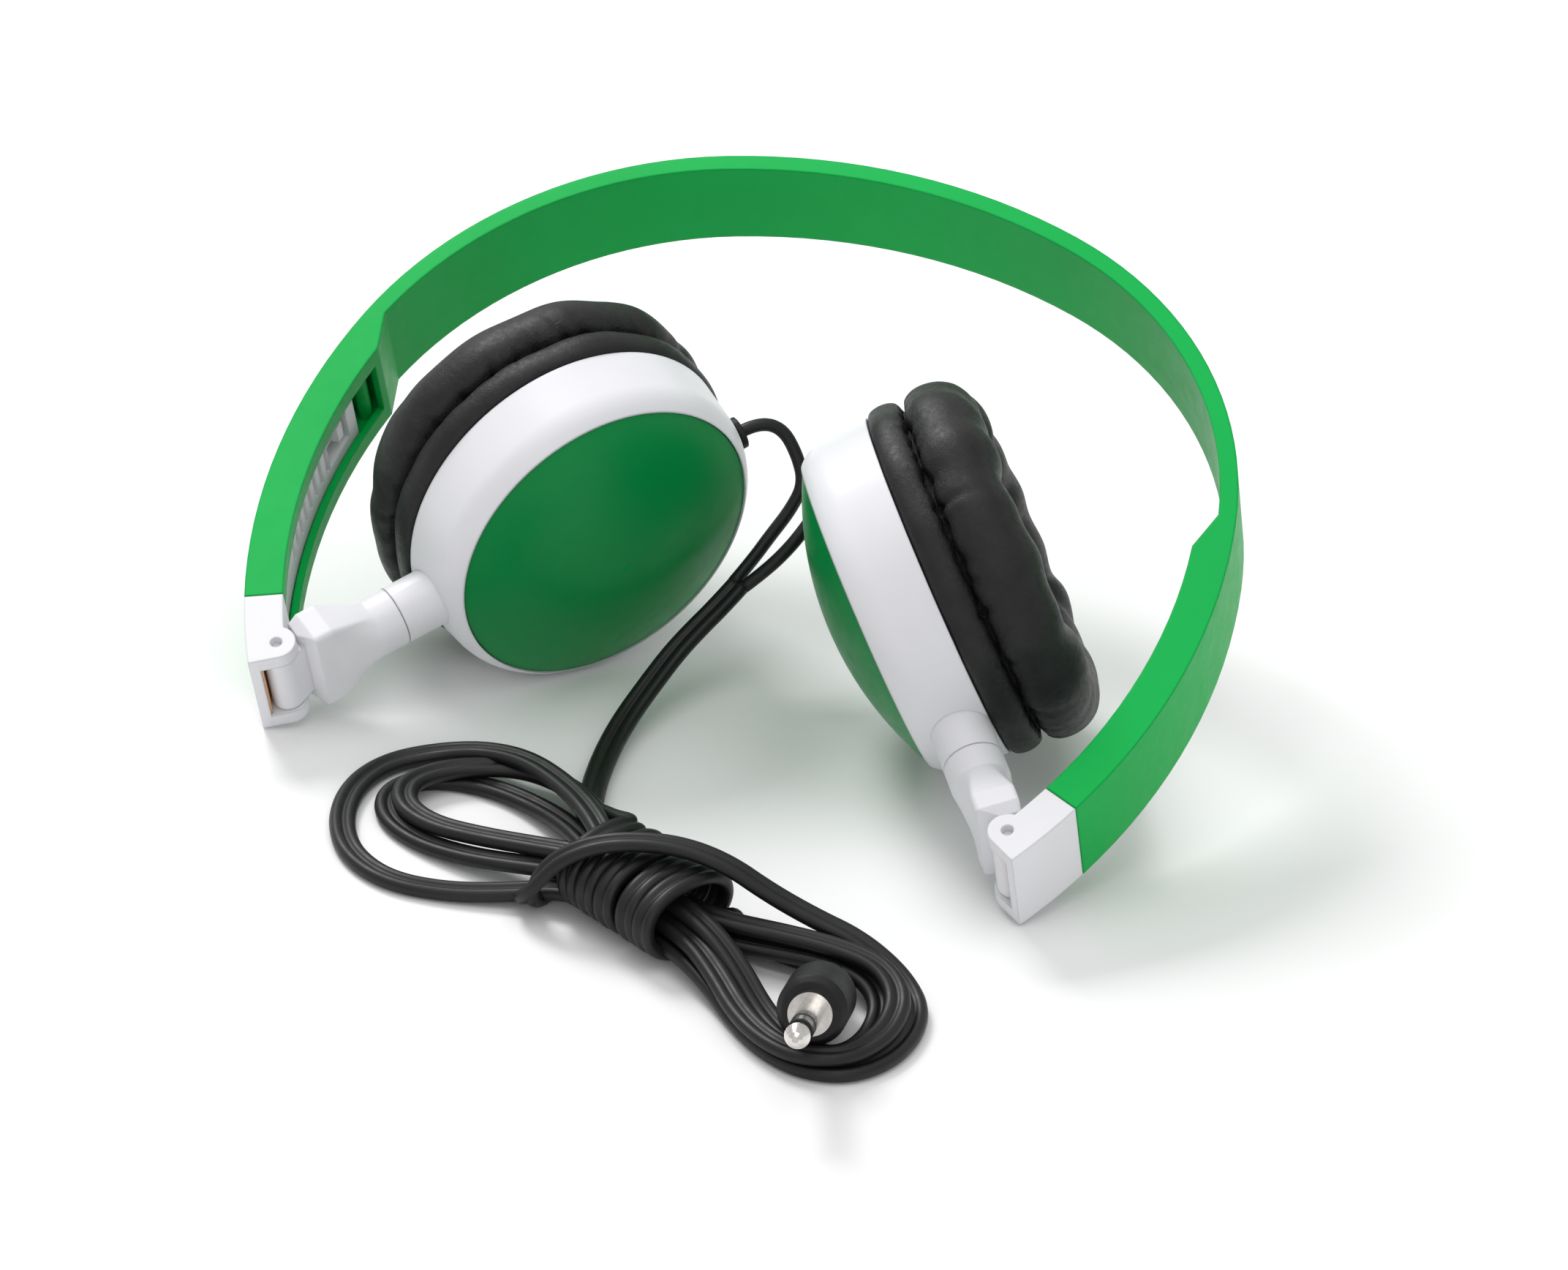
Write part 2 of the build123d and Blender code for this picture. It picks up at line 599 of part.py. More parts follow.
def make_cap(side):
    plane = cup_plane(side)
    dome = (CAP_RADIUS**2 + CAP_RISE**2) / (2 * CAP_RISE)
    apex = CAP_RIM + CAP_RISE
    centre = (0, apex - dome)
    inner_radius = CAP_RADIUS - CAP_WALL
    sweep = degrees(asin(CAP_RADIUS / dome))
    inner_sweep = degrees(asin(inner_radius / (dome - CAP_WALL)))
    with BuildPart() as cap:
        with BuildSketch(profile(plane)):
            with BuildLine():
                outer = CenterArc(centre, dome, 90 - sweep, sweep)
                inside = CenterArc(centre, dome - CAP_WALL, 90 - inner_sweep, inner_sweep)
                Line(outer @ 1, inside @ 1)
                Polyline(outer @ 0, (CAP_RADIUS, CAP_SEAT), (inner_radius, CAP_SEAT), inside @ 0)
            make_face()
        revolve(axis=Axis(plane.origin, plane.z_dir))
    keep(cap, f"{side}_cap")


def make_gland(side):
    plane = cup_plane(side)
    with BuildPart() as gland:
        with BuildSketch(across(plane, RING_INNER - GLAND_SINK)):
            Circle(GLAND_RADIUS)
        extrude(amount=RING_WALL + GLAND_SINK)
        with BuildSketch(across(plane, RING_RADIUS)):
            Circle(GLAND_FLANGE_RADIUS)
        extrude(amount=GLAND_FLANGE)
    keep(gland, f"{side}_cable_gland")


# ---- Driver and baffle
def make_baffle(side):
    plane = cup_plane(side)
    outer_face = RING_BACK - PART_GAP - BAFFLE_THICKNESS
    with BuildPart() as baffle:
        with BuildSketch(plane.offset(outer_face)):
            Circle(BAFFLE_RADIUS)
            Circle(DRIVER_OPENING, mode=Mode.SUBTRACT)
        extrude(amount=BAFFLE_THICKNESS)
        with BuildSketch(plane.offset(outer_face)):
            Circle(GRILLE_RADIUS)
        extrude(amount=GRILLE_THICKNESS, mode=Mode.SUBTRACT)
        with BuildSketch(plane.offset(outer_face)):
            for angle in POSTS:
                with Locations(Vector(POST_CIRCLE, 0, 0).rotate(Axis.Z, angle)):
                    Circle(TAPPING_RADIUS)
        extrude(amount=BAFFLE_THICKNESS, mode=Mode.SUBTRACT)
        with BuildSketch(plane.offset(outer_face)):
            for angle in POSTS:
                with Locations(Vector(POST_CIRCLE, 0, 0).rotate(Axis.Z, angle)):
                    Circle(TAPPING_HEAD_RADIUS)
        extrude(amount=TAPPING_HEAD_HEIGHT, mode=Mode.SUBTRACT)
    keep(baffle, f"{side}_baffle")
    with BuildPart() as screws:
        with BuildSketch(plane.offset(outer_face)):
            for angle in POSTS:
                with Locations(Vector(POST_CIRCLE, 0, 0).rotate(Axis.Z, angle)):
                    Circle(TAPPING_HEAD_RADIUS)
        extrude(amount=TAPPING_HEAD_HEIGHT)
        with BuildSketch(plane.offset(outer_face)):
            for angle in POSTS:
                with Locations(Vector(POST_CIRCLE, 0, 0).rotate(Axis.Z, angle)):
                    Circle(TAPPING_RADIUS)
        extrude(amount=BAFFLE_THICKNESS + TAPPING_LENGTH)
    keep(screws, f"{side}_baffle_screws")
    with BuildPart() as grille:
        with BuildSketch(plane.offset(outer_face)):
            Circle(GRILLE_RADIUS)
        extrude(amount=GRILLE_THICKNESS)
    keep(grille, f"{side}_driver_grille")


def make_driver(side):
    plane = cup_plane(side)
    front = RING_BACK
    back = front + DRIVER_DEPTH
    axis = Axis(plane.origin, plane.z_dir)
    with BuildPart() as frame:
        with BuildSketch(profile(plane)):
            with BuildLine():
                Polyline(
                    (DRIVER_OPENING + 0.3, front),
                    (DRIVER_RADIUS, front),
                    (DRIVER_RADIUS, front + 1),
                    (DRIVER_OPENING + 1.4, front + 1.2),
                    (MAGNET_RADIUS + 2, back),
                    (MAGNET_RADIUS, back),
                    (MAGNET_RADIUS, back - 1.0),
                    (MAGNET_RADIUS + 1.6, back - 1.0),
                    (DRIVER_OPENING + 0.3, front + 0.8),
                    close=True,
                )
            make_face()
        revolve(axis=axis)
    keep(frame, f"{side}_driver_frame")
    with BuildPart() as magnet:
        with BuildSketch(plane.offset(back - 1.0)):
            Circle(MAGNET_RADIUS)
        extrude(amount=MAGNET_HEIGHT)
    keep(magnet, f"{side}_driver_magnet")
    with BuildPart() as cone:
        with BuildSketch(profile(plane)):
            with BuildLine():
                low = (0, front - 0.2)
                rim = (DRIVER_OPENING + 0.2, front + 0.3)
                Polyline(low, (MAGNET_RADIUS, front + 1.2), rim)
                up = CONE_THICKNESS
                Polyline((0, low[1] + up), (MAGNET_RADIUS, front + 1.2 + up), (rim[0], rim[1] + up))
                Line(low, (0, low[1] + up))
                Line(rim, (rim[0], rim[1] + up))
            make_face()
        revolve(axis=axis)
    keep(cone, f"{side}_driver_diaphragm")


# ---- Ear cushion
def make_cushion(side):
    plane = cup_plane(side)
    top = RING_BACK - CUSHION_GAP
    ear = top - CUSHION_DEPTH
    seam = top - CUSHION_ROLL
    back = RING_BACK - PART_GAP - BAFFLE_THICKNESS - CUSHION_GAP
    skirt = BAFFLE_RADIUS + CUSHION_GAP
    r = CUSHION_RADIUS
    with BuildPart() as cushion:
        with BuildSketch(profile(plane)):
            with BuildLine():
                Line((skirt, top), (r - 0.7, top))
                ThreePointArc((r - 0.7, top), (r, top - 2.2), (r - CUSHION_SEAM_DEPTH, seam))
                ThreePointArc((r - CUSHION_SEAM_DEPTH, seam), (r, seam - 3.6), (r - 1.8, ear + 1.8))
                ThreePointArc((r - 1.8, ear + 1.8), ((r + CUSHION_HOLE) / 2, ear), (CUSHION_HOLE + 1.4, ear + 2.2))
                ThreePointArc((CUSHION_HOLE + 1.4, ear + 2.2), (CUSHION_HOLE, ear + 5), (CUSHION_HOLE + 0.6, back))
                Polyline((CUSHION_HOLE + 0.6, back), (skirt, back), (skirt, top))
            make_face()
        revolve(axis=Axis(plane.origin, plane.z_dir))
    keep(cushion, f"{side}_ear_cushion")


# ---- Cable
def gland_mouth(side):
    """Where a lead leaves its cup, and its direction there."""
    plane = cup_plane(side)
    return plane.origin + plane.x_dir * (RING_RADIUS + GLAND_FLANGE), plane.x_dir


def bend_radii(points):
    """Each bend as large as its two runs allow."""
    radii = []
    for before, at, after in zip(points, points[1:], points[2:]):
        turn = (at - before).get_angle(after - at)
        shorter = min((at - before).length, (after - at).length)
        radii.append(BEND_SHARE * shorter / tan(radians(turn / 2)))
    return radii


def make_cord(name, places, diameter):
    points = [Vector(*place) for place in places]
    radii = bend_radii(points)
    with BuildPart() as cord:
        with BuildLine() as route:
            FilletPolyline(*points, radius=radii)
        with BuildSketch(Plane(origin=points[0], z_dir=points[1] - points[0])):
            Circle(diameter / 2)
        sweep(path=route.wires()[0])
    expected = pi * diameter**2 / 4 * route.wires()[0].length
    print(name, "radii", [round(r, 1) for r in radii], "length", round(route.wires()[0].length, 1))
    print(name, "volume", round(cord.part.volume, 1), "expected", round(expected, 1))
    keep(cord, name)


def make_leads():
    for side, route in (("left", LEFT_LEAD), ("right", RIGHT_LEAD)):
        mouth, direction = gland_mouth(side)
        make_cord(f"{side}_lead", [mouth, mouth + direction * LEAD_EXIT, *route], STRAND)
    make_cord("cable_run", RUN, TWIN)


def outline(corners, rounding):
    with BuildSketch() as face:
        with BuildLine():
            Polyline(*corners, close=True)
        make_face()
        fillet(face.vertices(), rounding)
    return face.sketch


def make_hank():
    """The outer shape of the tied hank: two flat loops and the wrap about their middle."""
    with BuildPart() as hank:
        with BuildSketch():
            add(outline(HANK_OUTLINE, HANK_ROUND))
            add(outline(LEFT_EYE, HANK_ROUND - 1), mode=Mode.SUBTRACT)
            add(outline(RIGHT_EYE, HANK_ROUND - 1), mode=Mode.SUBTRACT)
        extrude(amount=HANK_HEIGHT)
        with BuildSketch():
            add(outline(WRAP, HANK_ROUND))
        extrude(amount=WRAP_HEIGHT)
        chamfer(hank.faces().sort_by(Axis.Z)[-1].edges(), WRAP_ROUND)
    keep(hank, "cable_hank")


# ---- Plug
def make_plug():
    axis_plane = Plane(origin=PLUG_PLACE, z_dir=PLUG_POINTS)
    axis = Axis(axis_plane.origin, axis_plane.z_dir)
    relief_start = -PLUG_BODY_LENGTH - PLUG_TAPER_LENGTH
    with BuildPart() as body:
        with BuildSketch(profile(axis_plane)):
            with BuildLine():
                Polyline(
                    (0, 0),
                    (PLUG_BODY_RADIUS - 0.8, 0),
                    (PLUG_BODY_RADIUS, -0.8),
                    (PLUG_BODY_RADIUS, -PLUG_BODY_LENGTH),
                    (PLUG_TAPER_RADIUS, relief_start),
                    (PLUG_RELIEF_RADIUS, relief_start),
                    (PLUG_RELIEF_RADIUS, relief_start - PLUG_RELIEF_LENGTH),
                    (0, relief_start - PLUG_RELIEF_LENGTH),
                    close=True,
                )
            make_face()
        revolve(axis=axis)
    keep(body, "plug_body")
    with BuildPart() as sleeve:
        with BuildSketch(axis_plane):
            Circle(PLUG_FLANGE_RADIUS)
            Circle(PLUG_CORE, mode=Mode.SUBTRACT)
        extrude(amount=PLUG_FLANGE)
        with BuildSketch(axis_plane.offset(PLUG_FLANGE)):
            Circle(PLUG_RADIUS)
            Circle(PLUG_CORE, mode=Mode.SUBTRACT)
        extrude(amount=SLEEVE_LENGTH)
    keep(sleeve, "plug_sleeve")
    first = PLUG_FLANGE + SLEEVE_LENGTH
    second = first + INSULATOR_LENGTH + PLUG_RING_LENGTH
    with BuildPart() as insulators:
        for low in (first, second):
            with BuildSketch(axis_plane.offset(low)):
                Circle(PLUG_RADIUS)
                Circle(PLUG_CORE, mode=Mode.SUBTRACT)
            extrude(amount=INSULATOR_LENGTH)
    keep(insulators, "plug_insulators")
    with BuildPart() as ring:
        with BuildSketch(axis_plane.offset(first + INSULATOR_LENGTH)):
            Circle(PLUG_RADIUS)
            Circle(PLUG_CORE, mode=Mode.SUBTRACT)
        extrude(amount=PLUG_RING_LENGTH)
    keep(ring, "plug_ring")
    start = second + INSULATOR_LENGTH
    with BuildPart() as tip:
        with BuildSketch(profile(axis_plane)):
            with BuildLine():
                Polyline(
                    (0, 0),
                    (PLUG_CORE, 0),
                    (PLUG_CORE, start),
                    (PLUG_RADIUS * 0.75, start),
                    (PLUG_RADIUS * 0.75, start + 0.5),
                    (PLUG_RADIUS, start + 1.4),
                    (PLUG_RADIUS, start + 1.8),
                    (PLUG_RADIUS * 0.55, start + TIP_LENGTH - 0.4),
                    (PLUG_RADIUS * 0.25, start + TIP_LENGTH),
                    (0, start + TIP_LENGTH),
                    close=True,
                )
            make_face()
        revolve(axis=axis)
    keep(tip, "plug_tip")


# ---- Main
os.makedirs("parts", exist_ok=True)
make_headband()
for side in SIDES:
    make_slider(side)
    make_hinge_leaf(side)
    make_fold_pin(side)
    make_arm(side)
    make_cup_ring(side)
    make_cap(side)
    make_gland(side)
    make_baffle(side)
    make_driver(side)
    make_cushion(side)
make_leads()
make_hank()
make_plug()
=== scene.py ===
"""A folding on-ear headset lying folded on a pale floor, its cable tied in a hank.

Sizes and places are in millimetres, times MM for Blender. Lights and the floor's size are in metres.
"""

import json
import math
import random

import bmesh
import bpy
import numpy as np
from mathutils import Matrix, Vector


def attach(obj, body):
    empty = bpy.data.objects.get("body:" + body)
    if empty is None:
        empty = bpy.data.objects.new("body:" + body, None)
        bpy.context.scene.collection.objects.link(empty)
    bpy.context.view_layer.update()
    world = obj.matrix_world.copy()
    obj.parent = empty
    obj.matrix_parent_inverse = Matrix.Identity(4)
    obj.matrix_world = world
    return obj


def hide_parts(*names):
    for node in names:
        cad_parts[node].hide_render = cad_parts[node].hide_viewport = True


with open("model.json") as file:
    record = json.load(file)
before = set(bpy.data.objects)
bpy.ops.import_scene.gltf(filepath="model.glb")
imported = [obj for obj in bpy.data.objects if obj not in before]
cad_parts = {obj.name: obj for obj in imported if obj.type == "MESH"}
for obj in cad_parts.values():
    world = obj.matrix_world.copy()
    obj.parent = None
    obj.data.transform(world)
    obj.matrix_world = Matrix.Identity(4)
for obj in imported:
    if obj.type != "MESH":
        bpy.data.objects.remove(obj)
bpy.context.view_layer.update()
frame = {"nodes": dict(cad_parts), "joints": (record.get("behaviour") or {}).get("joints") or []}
NODES = frame["nodes"]
JOINTS = {joint["name"]: joint for joint in frame["joints"]}
MM = 0.001
SIDES = ("left", "right")


# ---------------------------------------------------------------- camera
CAMERA_PLACE = Vector((338.08, -931.8, 561.4)) * MM
CAMERA_RIGHT = Vector((0.92532, 0.37425, 0.06101))
CAMERA_UP = Vector((-0.23101, 0.42882, 0.87335))
CAMERA_BACK = Vector((0.30069, -0.82223, 0.48325))
LENS = 182.1
SENSOR_WIDTH = 36
CLIP = (0.01, 20)           # metres
SHIFT = (0.0205, -0.0296)


def make_camera():
    data = bpy.data.cameras.new("camera")
    data.lens = LENS
    data.sensor_width = SENSOR_WIDTH
    data.shift_x, data.shift_y = SHIFT
    data.clip_start, data.clip_end = CLIP
    camera = bpy.data.objects.new("camera", data)
    bpy.context.scene.collection.objects.link(camera)
    turn = Matrix((CAMERA_RIGHT, CAMERA_UP, CAMERA_BACK)).transposed()
    camera.matrix_world = Matrix.Translation(CAMERA_PLACE) @ turn.to_4x4()
    bpy.context.scene.camera = camera


make_camera()


# ---------------------------------------------------------------- cable routes
STRAND = 1.9                # one conductor's diameter
TWIN = 3.7                  # width of the two side by side
LEAD_EXIT = 3.0             # straight stretch out of each gland
ARM_LENGTH = 48.9           # fold pin to the cup's middle
NECK_END = 18.0             # fold pin to the joint about which the cup turns
RING_RADIUS = 25.45
GLAND_FLANGE = 0.8
SIDEWAYS = Vector((0.9, 0.3, 0.3)).normalized()     # sets how a lead's round section is turned
LEFT_LEAD = [
    (-4.2, 12.3, 33.6),
    (-1.5, 11.9, 30.0),
    (0.3, 10.5, 26.6),
    (-0.6, 8.2, 23.2),
    (-2.4, 4.9, 19.8),
    (-3.6, 1.6, 17.2),
    (-4.9, -1.7, 15.0),
]
RIGHT_LEAD = [
    (4.9, 12.3, 32.8),
    (4.6, 10.5, 28.6),
    (3.9, 6.9, 24.8),
    (2.3, 2.9, 21.2),
    (-0.4, -0.4, 17.6),
    (-3.1, -2.3, 15.0),
]
RUN = [
    (-4.0, -2.0, 15.0),
    (-5.3, -5.4, 13.0),
    (-7.3, -9.7, 10.5),
    (-8.8, -13.9, 8.3),
    (-9.8, -19.4, 6.0),
    (-10.5, -25.3, 4.0),
    (-10.4, -31.4, 2.7),
    (-9.3, -38.8, 2.0),
    (-7.4, -46.2, 1.9),
    (-4.2, -54.8, 1.9),
]

# The hank's own frame: s along it to the plug's end, t across it to the headset, z up.
HANK_CENTRE = Vector((10.9, -71.5, 0))
HANK_ALONG = Vector((0.899, -0.438, 0))
HANK_ACROSS = Vector((0.438, 0.899, 0))
UNDER_WAIST = [(-18.4, 3.0, 1.0), (-14.8, -2.8, 1.0), (-12.6, -7.8, 1.1), (-11.4, -11.2, 2.6)]
OVER_WRAP = [
    (-9.9, -11.3, 5.6),
    (-8.2, -9.0, 9.6),
    (-5.0, -5.2, 12.4),
    (-0.5, -0.8, 13.5),
    (4.5, 3.2, 13.5),
    (9.5, 6.6, 12.0),
    (14.5, 9.6, 9.0),
]
RIGHT_OUTER = [
    (20.0, 12.8, 6.6),
    (26.0, 15.8, 5.0),
    (32.5, 17.0, 2.6),
    (38.8, 15.0, 1.2),
    (43.4, 9.6, 1.0),
    (45.9, 2.8, 1.0),
    (45.4, -3.6, 1.0),
    (41.2, -7.6, 1.0),
    (35.0, -8.4, 1.0),
    (28.0, -7.0, 1.0),
    (20.5, -4.8, 2.0),
    (13.0, -3.6, 3.0),
]
INSIDE_LOW = [(4.0, -3.2, 3.0), (-4.0, -3.4, 3.0)]
LEFT_OUTER = [
    (-10.5, -5.6, 2.8),
    (-15.8, -11.2, 1.6),
    (-21.5, -17.0, 1.0),
    (-28.5, -21.4, 1.0),
    (-37.0, -21.0, 1.0),
    (-44.8, -16.2, 1.0),
    (-50.6, -9.0, 1.0),
    (-52.8, -1.2, 1.0),
    (-50.3, 5.4, 1.6),
    (-44.6, 9.4, 3.4),
    (-37.0, 10.9, 5.0),
    (-28.0, 9.8, 5.8),
    (-19.0, 6.8, 6.8),
    (-11.5, 3.4, 6.6),
]
INSIDE_TOP = [(-4.0, 2.2, 5.2), (4.0, 2.2, 5.2)]
RIGHT_MIDDLE = [
    (12.5, 3.2, 5.8),
    (20.0, 8.2, 5.6),
    (27.0, 12.0, 5.4),
    (33.0, 13.7, 5.0),
    (38.6, 11.9, 3.8),
    (42.4, 6.8, 2.9),
    (44.2, 1.2, 2.9),
    (44.0, -3.6, 2.9),
    (40.6, -7.8, 2.9),
    (35.0, -8.8, 2.9),
    (28.0, -7.4, 2.9),
    (20.0, -4.4, 4.0),
    (13.0, -2.6, 5.0),
]
INSIDE_MIDDLE = [(4.0, -2.4, 5.1), (-4.0, -2.4, 5.1)]
LEFT_MIDDLE = [
    (-11.0, -3.6, 4.8),
    (-18.0, -6.6, 3.4),
    (-26.0, -9.4, 1.8),
    (-34.0, -11.3, 1.0),
    (-41.2, -10.6, 1.0),
    (-46.0, -6.6, 1.0),
    (-46.9, -1.2, 1.0),
    (-43.8, 3.4, 1.0),
    (-38.0, 6.8, 1.0),
    (-30.5, 7.6, 1.6),
    (-23.0, 6.4, 2.8),
    (-16.0, 4.2, 3.6),
    (-10.5, 2.4, 3.4),
]
INSIDE_FLOOR = [(-4.0, 1.4, 3.0), (4.0, 1.4, 3.0)]
RIGHT_INNER = [
    (12.5, 2.4, 3.2),
    (20.0, 7.0, 3.4),
    (26.5, 10.9, 3.5),
    (32.0, 12.2, 3.0),
    (36.6, 10.8, 1.8),
    (39.8, 6.6, 1.0),
    (41.8, 1.4, 1.0),
    (41.2, -2.4, 1.0),
    (38.4, -4.0, 1.0),
    (34.0, -4.2, 1.0),
    (27.5, -2.8, 1.4),
    (20.0, -1.0, 4.4),
    (13.0, -0.2, 6.6),
]
INSIDE_HIGH = [(4.0, -0.2, 7.2), (-4.0, -0.4, 7.2)]
LEFT_INNER = [
    (-11.0, -1.8, 6.8),
    (-18.0, -4.0, 5.4),
    (-26.0, -6.6, 3.9),
    (-33.5, -9.0, 3.0),
    (-40.0, -8.8, 2.9),
    (-44.2, -5.0, 2.9),
    (-44.6, 0.4, 2.9),
    (-42.2, 6.4, 2.9),
    (-37.6, 11.4, 2.9),
    (-31.0, 13.2, 2.9),
    (-24.5, 11.8, 3.2),
    (-18.0, 9.8, 4.4),
]
WRAP_TURNS = 5
WRAP_STEPS = 16             # route points in each turn
WRAP_HALF_WIDTH = 8.0
WRAP_HALF_HEIGHT = 4.8
WRAP_MIDDLE = 5.8
WRAP_SHIFT = 0.6
WRAP_START = -9.0           # s of the first turn
WRAP_PITCH = 3.95
WRAP_FIRST_ANGLE = 40.0
WRAP_ROUNDNESS = 0.9        # 1 is an ellipse, less is squarer
WRAP_SWAY = 0.35            # how far the turns stray from an even pitch
WRAP_SWAY_RATE = 2.3        # radians of the sway in each turn
WRAP_LEFT_OFF = 0.15        # part of the last turn that isn't made
PLUG_TAIL = [(14.0, 7.8, 2.0), (19.0, 9.8, 1.1), (23.4, 12.2, 1.1), (26.2, 11.9, 1.5)]
PLUG_PLACE = Vector((43.9, -93.2, 8.0))
PLUG_POINTS = Vector((0.2, -0.93, 0.3)).normalized()
PLUG_BACK = 19.0            # front face of the plug's body to the end of its relief
TAIL_LEAD_IN = 1.2          # the cord's last point outside the relief, from its end
TAIL_INSIDE = 2.0           # how far the cord runs on inside it
NURBS_STEPS = 8
NORMAL_ROUNDS = 14          # smoothing of the twin cord's twist


def hank(places):
    """Route points given in the hank's own frame."""
    return [HANK_CENTRE + HANK_ALONG * s + HANK_ACROSS * t + Vector((0, 0, z)) for s, t, z in places]


def wrap_point(turns):
    """The winding about the hank's waist, by turns from its start, over the top towards the viewer."""
    angle = math.radians(WRAP_FIRST_ANGLE) + turns * math.tau
    # a slightly squared oval, so that the winding lies flat over the bundle
    c, s = math.cos(angle), math.sin(angle)
    across = WRAP_HALF_WIDTH * math.copysign(abs(c) ** WRAP_ROUNDNESS, c)
    high = WRAP_HALF_HEIGHT * math.copysign(abs(s) ** WRAP_ROUNDNESS, s)
    sway = WRAP_SWAY * math.sin(WRAP_SWAY_RATE * turns)
    along = WRAP_START + WRAP_PITCH * turns + sway
    return hank([(along, WRAP_SHIFT + across, WRAP_MIDDLE + high)])[0]


def wrap_points():
    count = int((WRAP_TURNS - WRAP_LEFT_OFF) * WRAP_STEPS)
    return [wrap_point(i / WRAP_STEPS) for i in range(count + 1)]


def vectors(places):
    return [Vector(place) for place in places]


def twin_route():
    tail = PLUG_PLACE - PLUG_POINTS * PLUG_BACK
    points = vectors(RUN) + hank(UNDER_WAIST) + hank(OVER_WRAP) + hank(RIGHT_OUTER)
    points += hank(INSIDE_LOW) + hank(LEFT_OUTER) + hank(INSIDE_TOP) + hank(RIGHT_MIDDLE)
    points += hank(INSIDE_MIDDLE) + hank(LEFT_MIDDLE) + hank(INSIDE_FLOOR) + hank(RIGHT_INNER)
    points += hank(INSIDE_HIGH) + hank(LEFT_INNER)
    start = len(points)
    points += wrap_points()
    end = len(points)
    points += hank(PLUG_TAIL) + [tail - PLUG_POINTS * TAIL_LEAD_IN, tail + PLUG_POINTS * TAIL_INSIDE]
    return points, start, end


def nurbs(name, points):
    """A NURBS curve of order 3 that starts and ends on its end points."""
    data = bpy.data.curves.new(name, "CURVE")
    data.dimensions = "3D"
    data.resolution_u = NURBS_STEPS
    spline = data.splines.new("NURBS")
    spline.points.add(len(points) - 1)
    for place, point in zip(points, spline.points):
        point.co = (*(place * MM), 1)
    spline.order_u = 3
    spline.use_endpoint_u = True
    curve = bpy.data.objects.new(name, data)
    bpy.context.scene.collection.objects.link(curve)
    return curve


def read_line(curve):
    """The curve's own points, in order, in metres."""
    mesh = bpy.data.meshes.new_from_object(curve)
    line = [v.co.copy() for v in mesh.vertices]
    bpy.data.meshes.remove(mesh)
    return line


def add_mesh(name, vertices, faces, smooth=True):
    mesh = bpy.data.meshes.new(name)
    mesh.from_pydata([tuple(v) for v in vertices], [], faces)
    mesh.update()
    if smooth:
        mesh.polygons.foreach_set("use_smooth", [True] * len(mesh.polygons))
    piece = bpy.data.objects.new(name, mesh)
    bpy.context.scene.collection.objects.link(piece)
    return piece


def grid_faces(rows, columns, closed_rows=False):
    """Quads of a tube: each row is a closed ring of columns points."""
    faces = []
    for i in range(rows if closed_rows else rows - 1):
        for j in range(columns):
            k = (j + 1) % columns
            n = (i + 1) % rows
            faces.append((i * columns + j, i * columns + k, n * columns + k, n * columns + j))
    return faces


GROOVE_RISE = 0.34          # these two set the angle at which each conductor meets the groove
GROOVE_SHARE = 0.55
TWIN_SEGMENTS = 14          # corners round each conductor
ROUND_SEGMENTS = 16


def twin_section():
    """The outline of two joined round conductors, width along x."""
    radius = STRAND / 2
    offset = TWIN / 2 - radius
    # each conductor's arc starts where it meets the groove
    meet = math.atan2(GROOVE_RISE, -offset * GROOVE_SHARE)
    points = []
    for side in (1, -1):
        for i in range(TWIN_SEGMENTS + 1):
            angle = -meet + 2 * meet * i / TWIN_SEGMENTS
            x, y = offset + radius * math.cos(angle), radius * math.sin(angle)
            points.append((side * x, side * y))
    return points


def round_section():
    steps = [math.tau * i / ROUND_SEGMENTS for i in range(ROUND_SEGMENTS)]
    return [(STRAND / 2 * math.cos(a), STRAND / 2 * math.sin(a)) for a in steps]


def tube(name, line, normals, section):
    """A closed tube of that section along line, its thickness along normals."""
    vertices = []
    for i, place in enumerate(line):
        ahead = line[min(i + 1, len(line) - 1)] - line[max(i - 1, 0)]
        tangent = ahead.normalized()
        wide = tangent.cross(normals[i]).normalized()
        thick = wide.cross(tangent)
        for x, y in section:
            vertices.append(place + wide * (x * MM) + thick * (y * MM))
    columns = len(section)
    faces = grid_faces(len(line), columns)
    faces.append(tuple(reversed(range(columns))))
    last = (len(line) - 1) * columns
    faces.append(tuple(last + j for j in range(columns)))
    return add_mesh(name, vertices, faces)


def smooth_vectors(values, rounds):
    values = [v.normalized() for v in values]
    for _ in range(rounds):
        values = [
            (values[max(i - 1, 0)] + values[i] * 2 + values[min(i + 1, len(values) - 1)]).normalized()
            for i in range(len(values))
        ]
    return values


def twin_normals(line, wrap_share):
    """Flat side up where the cable lies, and outwards from the bundle in the winding."""
    low, high = wrap_share
    middle = HANK_CENTRE + Vector((0, 0, WRAP_MIDDLE))
    normals = []
    for i, place in enumerate(line):
        share = i / (len(line) - 1)
        normal = Vector((0, 0, 1))
        if low < share < high:
            out = place / MM - middle
            out -= HANK_ALONG * out.dot(HANK_ALONG)
            normal = out
        normals.append(normal)
    return smooth_vectors(normals, NORMAL_ROUNDS)


def gland_exit(side):
    """Where the lead leaves the gland, and its direction there, from the cup's joint."""
    joint = JOINTS[f"{side}_cup_swivel"]
    along = Vector(joint["axis"])
    if side == "left":
        along = -along
    centre = Vector(joint["pos_m"]) / MM + along * (ARM_LENGTH - NECK_END)
    return centre + along * (RING_RADIUS + GLAND_FLANGE), along


